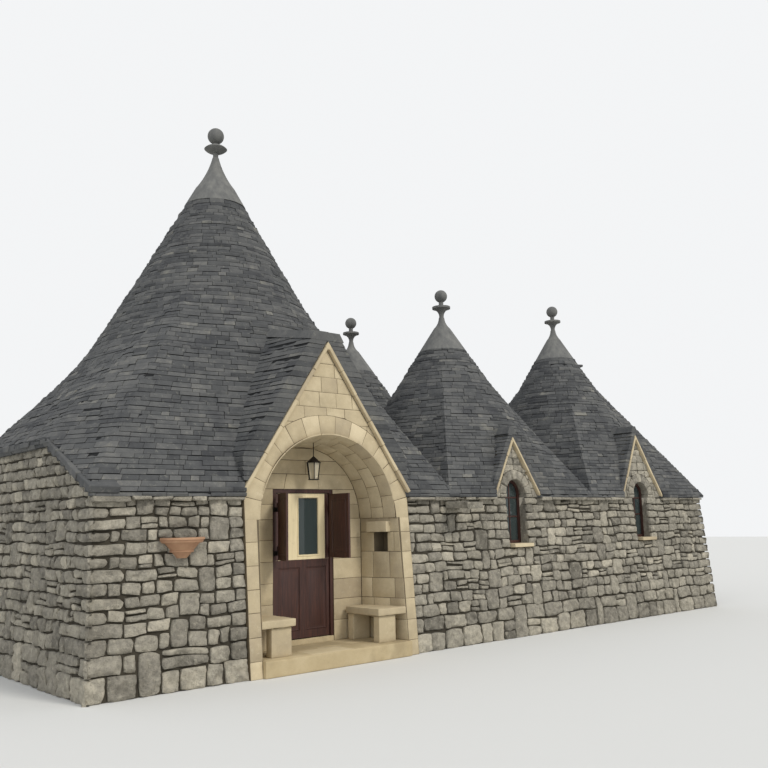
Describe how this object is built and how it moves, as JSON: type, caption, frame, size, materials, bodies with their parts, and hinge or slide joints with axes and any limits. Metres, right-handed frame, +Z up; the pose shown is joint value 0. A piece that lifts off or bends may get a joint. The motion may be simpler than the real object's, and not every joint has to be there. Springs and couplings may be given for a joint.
{
  "type": "trullo house",
  "caption": "Dry-stone house with conical stone roofs, a gabled arched porch with benches and a half-glazed door, gabled windows and ball finials.",
  "frame": {"origin": "on the ground under the middle of the entrance, on the line of the facade", "axes": "+X along the facade to the right, +Y into the building, +Z up"},
  "size_m": [12.75, 6.8, 8.447],
  "materials": {
    "limestone_wall": "matte",
    "ashlar": "matte",
    "roof_slabs": "matte",
    "plaster": "matte",
    "paving_stone": "matte",
    "dark_wood": "satin",
    "cream_wood": "satin",
    "clear_glass": "gloss",
    "black_iron": "matte",
    "terracotta": "matte"
  },
  "bodies": {
    "house": {"left_wall": "limestone_wall", "front_wall_left": "limestone_wall", "front_wall_center": "limestone_wall", "window_wall_middle": "limestone_wall", "window_wall_right": "limestone_wall", "right_wall": "limestone_wall", "back_wall_main": "limestone_wall", "back_wall_middle": "limestone_wall", "back_wall_right": "limestone_wall", "cross_wall_main": "limestone_wall", "cross_wall_rooms": "limestone_wall", "cross_wall_right": "limestone_wall", "window_gable_middle": "limestone_wall", "window_gable_right": "limestone_wall", "porch_piers": "ashlar", "door_wall_sides": "ashlar", "porch_gable": "ashlar", "porch_copings": "ashlar", "bench_slabs": "ashlar", "bench_legs": "ashlar", "niche_lintel": "ashlar", "window_sills": "ashlar", "eave_slabs": "ashlar", "valley_spout": "ashlar", "main_roof": "roof_slabs", "middle_roof": "roof_slabs", "back_roof": "roof_slabs", "right_roof": "roof_slabs", "porch_roof": "roof_slabs", "main_cap": "plaster", "small_caps": "plaster", "main_finial": "plaster", "small_finials": "plaster", "porch_floor": "paving_stone", "door_sill": "paving_stone", "room_floors": "paving_stone", "door_frame": "dark_wood", "window_frames": "dark_wood", "window_panes": "clear_glass", "lantern_glass": "clear_glass", "lantern_iron": "black_iron", "shutter_pintles": "black_iron", "wall_bowl": "terracotta"},
    "door": {"door_leaf": "dark_wood", "door_sash": "cream_wood", "door_glass": "clear_glass"},
    "shutter_left": {"shutter_left": "dark_wood"},
    "shutter_right": {"shutter_right": "dark_wood"}
  },
  "joints": [
    {"name": "door_hinge", "type": "hinge", "parent": "house", "child": "door", "pos_m": [-0.45, 0.884, 0.28], "axis": [0, 0, 1], "range_deg": [0, 90]},
    {"name": "left_shutter_hinge", "type": "hinge", "parent": "house", "child": "shutter_left", "pos_m": [-0.45, 0.771, 1.32], "axis": [0, 0, 1], "range_deg": [-25, 110]},
    {"name": "right_shutter_hinge", "type": "hinge", "parent": "house", "child": "shutter_right", "pos_m": [0.45, 0.771, 1.32], "axis": [0, 0, 1], "range_deg": [-90, 45]}
  ]
}
